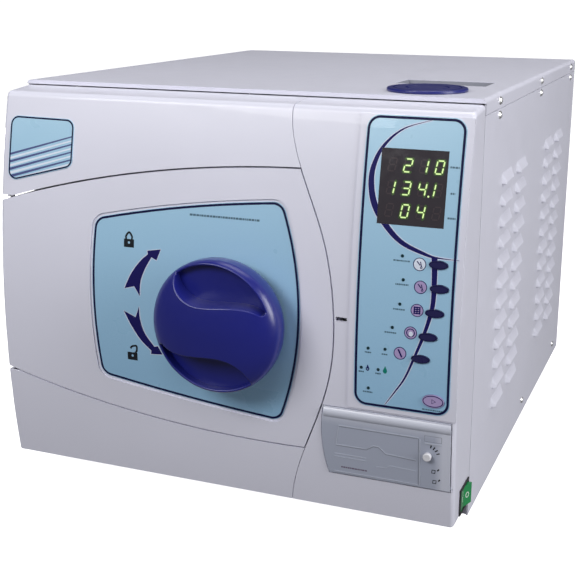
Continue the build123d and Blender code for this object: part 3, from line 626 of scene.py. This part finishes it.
def panel_graphics():
    """The control film's border, its sweep behind the keys, lamps, print and icons."""
    rim = front_loop("control_overlay")
    printed("panel_border", "navy", border(rim, 0.7, 2.2), OVERLAY_PROUD, "root")
    halos = [[ribbon(CRESCENT, crescent_width, 0.8)], [ribbon(STALK, stalk_width, 0.7)]]
    printed("sweep_halo", "halo", halos, OVERLAY_PROUD, "root", HALO_LIFT, without=DISPLAY)
    printed("sweep", "violet", [[ribbon(CRESCENT, crescent_width)], [ribbon(STALK, stalk_width)]],
            OVERLAY_PROUD, "root", without=DISPLAY)
    lamps = [[disc(x, z, LAMP_R, 16)] for x, z in LAMPS_AT]
    printed("lamps", "lamp", lamps, OVERLAY_PROUD, "root", LAMP_LIFT)
    rows = [row for k, (x, z, w) in enumerate(PRINT_ROWS) for row in dashes(x, z, w, ROW_HIGH, 7 + k)]
    rows += [row for x, z, w, seed in DISPLAY_ROWS for row in dashes(x, z, w, DISPLAY_ROW_HIGH, seed)]
    printed("panel_print", "faint", rows, OVERLAY_PROUD, "root")
    icon_signs()


def cutter_icon(x, z):
    """Two crossing blades and a finger ring."""
    return [[stroke((x - 2.4, z + 2.6), (x + 0.6, z - 0.8), 0.9)],
            [stroke((x + 0.6, z + 2.4), (x + 2.0, z - 2.4), 0.8)],
            ring(x + 1.6, z - 2.7, 1.1, 0.5, 14)]


def grid_icon(x, z):
    """Four bars across and three down."""
    across = [[stroke((x - 3.2, z - 2.7 + 1.8 * k), (x + 3.2, z - 2.7 + 1.8 * k), 1.1)] for k in range(4)]
    down = [[stroke((x - 2.4 + 2.4 * k, z + 3.4), (x - 2.4 + 2.4 * k, z - 3.4), 1.0)] for k in range(3)]
    return across + down


def drop_shape(place, scale=1.0):
    """A falling drop."""
    return [(place[0] + x * scale, place[1] + z * scale) for x, z in DROP]


def icon_signs():
    """The five round icons beside the keys, and the two drops."""
    inside = ICON_R - ICON_RIM
    rings = [ring(x, z, ICON_R, inside) for x, z in ICONS]
    discs = [[disc(x, z, inside)] for x, z in ICONS]
    printed("icon_rings", "violet", rings, OVERLAY_PROUD, "root")
    printed("icon_disc_1", "pale", discs[:1], OVERLAY_PROUD, "root", DISC_LIFT)
    printed("icon_discs", "lilac", discs[1:], OVERLAY_PROUD, "root", DISC_LIFT)
    marks = cutter_icon(*ICONS[0]) + cutter_icon(*ICONS[1]) + grid_icon(*ICONS[2])
    x, z = ICONS[4]
    marks += [[stroke((x - 1.8, z + 3.6), (x + 1.8, z - 3.6), 1.5)]]
    marks += [[drop_shape(DROP_AT), disc(DROP_AT[0], DROP_AT[1] - 0.8, 0.7, 10)]]
    printed("icon_marks", "violet", marks, OVERLAY_PROUD, "root", SIGN_LIFT)
    x, z = ICONS[3]
    pale = oval(x + 0.3, z - 1.0, 1.9, 2.3, 20)
    printed("icon_drop_pale", "pale", [[pale]], OVERLAY_PROUD, "root", CORE_LIFT)
    printed("icon_hand", "violet", [ring(x, z, 4.0, 3.1)], OVERLAY_PROUD, "root", INNER_RING_LIFT)
    printed("drop_green", "green", [[drop_shape(GREEN_DROP_AT, GREEN_DROP_SCALE)]], OVERLAY_PROUD, "root")


def key_graphics():
    """A ring and a triangle on the start key, and a rim on each of the others."""
    x, z = START
    start_ring = [oval(x, z, 9.5, 5.5), oval(x, z, 8.7, 4.7)]
    printed("start_ring", "violet", [start_ring], KEY_PROUD, "key_start", KEY_LIFT)
    play = [(x - 1.2, z - 2.3), (x - 1.2, z + 2.3), (x + 2.8, z)]
    printed("start_sign", "violet", [[play, shrunk(play, 0.75)]], KEY_PROUD, "key_start", KEY_LIFT)
    for k, (kx, kz) in enumerate(KEYS):
        rim = oval(kx, kz, 8.0, 3.2)
        printed(f"key_rim_{k + 1}", "navy", [[rim, shrunk(rim, 0.5)]], KEY_PROUD, f"key_{k + 1}", KEY_LIFT)


def rocker_marks():
    """A bar and a ring, raised on the two halves of the mains rocker."""
    low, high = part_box("power_rocker")
    middle = (low.z + high.z) / 2 / MM
    mesh = flat_mesh([[stroke((-6.6, -2.6), (-6.6, 2.6), 1.1)], ring(5.6, 0, 2.9, 2.0, 40)])
    back = thickened(mesh)
    tilt = math.radians(ROCKER_TILT)
    for v in mesh.verts:
        along, up = v.co.x, v.co.z
        out = ROCKER_CREST + ROCKER_RISE * abs(along) + (-MARK_SUNK if v in back else MARK_LIFT)
        x = out * math.cos(tilt) + along * math.sin(tilt)
        y = along * math.cos(tilt) - out * math.sin(tilt)
        v.co = Vector((ROCKER_PIVOT[0] + x, ROCKER_PIVOT[1] + y, middle + up)) * MM
    material = moulded("rocker_marks", (0.75, 0.85, 0.78), 0.35)
    finished(mesh, "rocker_marks", material, "rocker")


# --- Display -----------------------------------------------------------------
# Each bar's two ends, as shares of a digit's width and height, and the bars that are lit in each sign.
# The sign "I" is a one at the left edge of its place.
SEGMENTS = {"a": ((0, 1), (1, 1)), "b": ((1, 1), (1, 0.5)), "c": ((1, 0.5), (1, 0)), "d": ((0, 0), (1, 0)),
            "e": ((0, 0), (0, 0.5)), "f": ((0, 0.5), (0, 1)), "g": ((0, 0.5), (1, 0.5))}
LIT = {"0": "abcdef", "1": "bc", "I": "ef", "2": "abdeg", "3": "abcdg", "4": "bcfg", " ": ""}
READINGS = (" 210", "134I", " 04 ")
DIGIT_W = 6.2
DIGIT_H = 11.0
SLANT = 0.17                    # how far a digit leans to the right, as a share of its height
FIRST_DIGIT = (6.6, 19.4)       # its lower left corner, from the display's upper left corner
DIGIT_STEP, ROW_STEP = 14.2, 19.6
POINT_BEFORE = 4.2              # the decimal point stands this far left of the last digit
POINT_R = 0.9
LIT_WIDTH, DIM_WIDTH, GLOW_WIDTH = 1.15, 1.2, 3.0
TRIM, GLOW_TRIM = 0.9, -0.3     # a bar stops short of its ends, and its glow reaches past them


def segment(x, z, name, width, trim=TRIM):
    """One bar of a digit whose lower left corner is at x, z. Its ends are pointed."""
    a, b = [Vector((x + DIGIT_W * u + SLANT * DIGIT_H * w, z + DIGIT_H * w)) for u, w in SEGMENTS[name]]
    run = (b - a).normalized()
    side = Vector((-run.y, run.x)) * width / 2
    a, b = a + run * trim, b - run * trim
    return [tuple(a - run * width * 0.4), tuple(a + side), tuple(b + side), tuple(b + run * width * 0.4),
            tuple(b - side), tuple(a - side)]


def digit_place(row, column):
    """The lower left corner of a digit."""
    cx, cz, w, h = DISPLAY
    return (cx - w / 2 + FIRST_DIGIT[0] + DIGIT_STEP * column,
            cz + h / 2 - FIRST_DIGIT[1] - ROW_STEP * row)


def display_graphics():
    """Three readings in lit bars, each with a faint glow, and the unlit bars."""
    bright, dim, glow = [], [], []
    for row, text in enumerate(READINGS):
        for column, digit in enumerate(text):
            x, z = digit_place(row, column)
            for name in SEGMENTS:
                on = name in LIT[digit]
                if on:
                    bright.append([segment(x, z, name, LIT_WIDTH)])
                    glow.append([segment(x, z, name, GLOW_WIDTH, GLOW_TRIM)])
                else:
                    dim.append([segment(x, z, name, DIM_WIDTH)])
    x, z = digit_place(1, 3)
    bright.append([disc(x - POINT_BEFORE, z - 0.2, POINT_R, 12)])
    printed("display_glow", "glow", glow, FILTER_PROUD, "root", GLOW_LIFT)
    printed("display_dim", "dim", dim, FILTER_PROUD, "root", DIM_LIFT)
    printed("display_lit", "segment", bright, FILTER_PROUD, "root", LIT_LIFT)


# --- Service flap ------------------------------------------------------------
FRAME_LIFT, CHART_LIFT = 0.35, 0.3
TICKS = (74, 56, 39, 21)        # angles of the marks round the latch, in degrees
TICK_FROM, TICK_TO = 8.6, 11.8  # their distances from its axis


def lines(points, width):
    """A stroke from each point to the next."""
    return [[stroke(a, b, width)] for a, b in zip(points, points[1:])]


def flap_graphics():
    """Raised lines with a painted highlight on them and painted shade beside them, the marks round the latch,
    and a line of print.
    """
    frame_line = lines([(129, 89), (206, 89)], 0.9) + lines([(124, 40.8), (206, 40.8)], 0.8)
    frame_line += lines([(207.6, 88), (207.6, 40.5)], 0.8) + lines([(212, 84.6), (228, 84.6)], 1.3)
    chart = lines([(126, 69), (156, 69), (163, 73.5), (168, 73.5), (175, 67.5), (204, 66)], 0.7)
    chart += lines([(125, 59.5), (156, 59.5)], 0.6) + lines([(124.6, 56.4), (156, 56.4)], 0.6)
    chart += lines([(166, 52.2), (175, 52.6), (179, 55.6), (204, 54.6)], 0.6)
    chart += lines([(129, 88), (126.4, 69.5)], 0.6)
    printed("flap_frame", "ridge_highlight", frame_line, FLAP_PROUD, "flap", FRAME_LIFT)
    printed("flap_chart", "ridge_highlight", chart, FLAP_PROUD, "flap", CHART_LIFT)
    box = [(211.6, 86.4), (227.8, 86.4), (227.8, 92.4), (211.6, 92.4)]
    # painted shade just under and beside the raised lines and round the small box
    shade = lines([(129, 87.8), (206, 87.8)], 0.6) + lines([(206.2, 88), (206.2, 40.5)], 0.5)
    shade += lines([(126, 67.9), (156, 67.9), (163, 72.4), (168, 72.4), (175, 66.4), (204, 64.9)], 0.5)
    shade += [[box, shrunk(box, 0.5)]]
    printed("flap_shade", "relief_shade", shade, FLAP_PROUD, "flap", FLAP_LIFT)
    middle = Vector(LATCH)
    ticks = []
    for angle in TICKS:
        way = Vector((math.cos(math.radians(angle)), math.sin(math.radians(angle))))
        ticks.append([stroke(middle + way * TICK_FROM, middle + way * TICK_TO, 0.9, 1.3)])
    for px, pz in ((220.5, 57), (221.5, 46.5)):
        sign = [(px - 2.0, pz - 1.9), (px + 1.6, pz - 1.9), (px + 2.0, pz + 1.9), (px - 1.6, pz + 1.9)]
        ticks += [[sign, shrunk(sign, 0.9)], [stroke((px + 3.6, pz + 1.2), (px + 5.2, pz + 3.2), 1.3)]]
    printed("flap_signs", "black", ticks, FLAP_PROUD, "flap", FLAP_LIFT)
    printed("flap_print", "mauve", dashes(131, 45.2, 26, 1.5, 12), FLAP_PROUD, "flap", FLAP_LIFT)


# --- Back --------------------------------------------------------------------
PLATE = (95.0, 62.0, 52.0, 30.0)            # left, low, width and height
PLATE_LIFT, PLATE_DEPTH = 0.5, 0.55
PLATE_ROWS, PLATE_PITCH = 5, 5.0


def rating_plate():
    """A small plate on the rear panel, with rows of blocks in place of its print."""
    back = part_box("rear_panel")[1].y / MM
    left, low, wide, high = PLATE
    rows = []
    for k in range(PLATE_ROWS):
        length = wide - 10 - 5 * (k % 2)
        rows += dashes(left + 4, low + 4 + PLATE_PITCH * k, length, 1.8, 3 + k)
    sheet = [[(left, low), (left + wide, low), (left + wide, low + high), (left, low + high)]]
    for name, shapes, lift, colour in (("rating_plate", [sheet], PLATE_LIFT, (0.62, 0.63, 0.65)),
                                       ("rating_print", rows, PLATE_LIFT + INK, (0.05, 0.05, 0.06))):
        mesh = flat_mesh(shapes)
        inner = thickened(mesh)
        for v in mesh.verts:
            out = lift - PLATE_DEPTH if v in inner else lift
            v.co = Vector((v.co.x, back + out, v.co.z + LOW_EDGE)) * MM
        finished(mesh, name, moulded(name, colour, 0.4), "root")


# --- The CAD nodes' materials ------------------------------------------------
def finish_nodes():
    """Gives every CAD node the material of its slot."""
    for part in frame["record"]["subparts"]:
        data = NODES[part["node"]].data
        material = FINISHES[part["material_slot"]]
        if not data.materials:
            data.materials.append(material)
        for k in range(len(data.materials)):
            data.materials[k] = material


# --- Room, light and camera --------------------------------------------------
def stage_floor():
    """A white floor that glows as the photograph's background does, and lights nothing itself."""
    made = Finish("floor", Roughness=0.9, Emission_Strength=FLOOR_GLOW)
    tone = made.blend(made.noise(3.0), (0.80, 0.80, 0.81), (0.82, 0.82, 0.825))
    made.link(tone, made.shader.inputs["Emission Color"])
    made.colour(tone)
    mesh = bmesh.new()
    bmesh.ops.create_grid(mesh, x_segments=8, y_segments=8, size=FLOOR_SIZE)
    data = bpy.data.meshes.new("floor")
    mesh.to_mesh(data)
    mesh.free()
    data.materials.append(made.material)
    floor = bpy.data.objects.new("floor", data)
    bpy.context.scene.collection.objects.link(floor)
    floor.visible_diffuse = False
    floor.visible_glossy = False


def soft_light(name, place, size, power):
    """A rectangular light that faces the part."""
    data = bpy.data.lights.new(name, "AREA")
    data.shape = "RECTANGLE"
    data.size, data.size_y = size
    data.energy = power
    light = bpy.data.objects.new(name, data)
    bpy.context.scene.collection.objects.link(light)
    light.location = place
    light.rotation_mode = "QUATERNION"
    light.rotation_quaternion = (Vector(LAMP_AIM) - Vector(place)).to_track_quat("-Z", "Y")


def light_room():
    """A sky that is brighter near the ground, and soft lights all round."""
    world = bpy.data.worlds.new("studio")
    bpy.context.scene.world = world
    world.use_nodes = True
    tree = world.node_tree
    split = tree.nodes.new("ShaderNodeSeparateXYZ")
    tree.links.new(tree.nodes.new("ShaderNodeTexCoord").outputs["Generated"], split.inputs["Vector"])
    ramp = tree.nodes.new("ShaderNodeMapRange")
    for name, value in (("From Min", SKY_FROM), ("From Max", SKY_TO),
                        ("To Min", SKY_LOW), ("To Max", SKY_HIGH)):
        ramp.inputs[name].default_value = value
    tree.links.new(split.outputs["Z"], ramp.inputs["Value"])
    sky = tree.nodes["Background"]
    sky.inputs["Color"].default_value = (0.97, 0.97, 1.0, 1.0)
    tree.links.new(ramp.outputs["Result"], sky.inputs["Strength"])
    for lamp in LAMPS:
        soft_light(*lamp)
    bpy.context.scene.view_settings.view_transform = "Standard"
    bpy.context.scene.view_settings.look = "None"


def place_camera():
    """The photograph's viewpoint: above the top and to the right of the front."""
    data = bpy.data.cameras.new("camera")
    data.sensor_width = SENSOR
    data.lens = CAMERA_FOCAL * SENSOR
    data.shift_x, data.shift_y = CAMERA_SHIFT
    data.clip_start, data.clip_end = 0.05, 200.0
    camera = bpy.data.objects.new("camera", data)
    bpy.context.scene.collection.objects.link(camera)
    yaw = Matrix.Rotation(math.radians(CAMERA_YAW), 4, "Z")
    pitch = Matrix.Rotation(math.radians(90.0 + CAMERA_PITCH), 4, "X")
    roll = Matrix.Rotation(math.radians(CAMERA_ROLL), 4, "Z")
    camera.matrix_world = Matrix.Translation(CAMERA_PLACE) @ yaw @ pitch @ roll
    bpy.context.scene.camera = camera


finish_nodes()
door_graphics()
badge_graphics()
panel_graphics()
key_graphics()
rocker_marks()
display_graphics()
flap_graphics()
rating_plate()
stage_floor()
light_room()
place_camera()
bpy.context.view_layer.update()
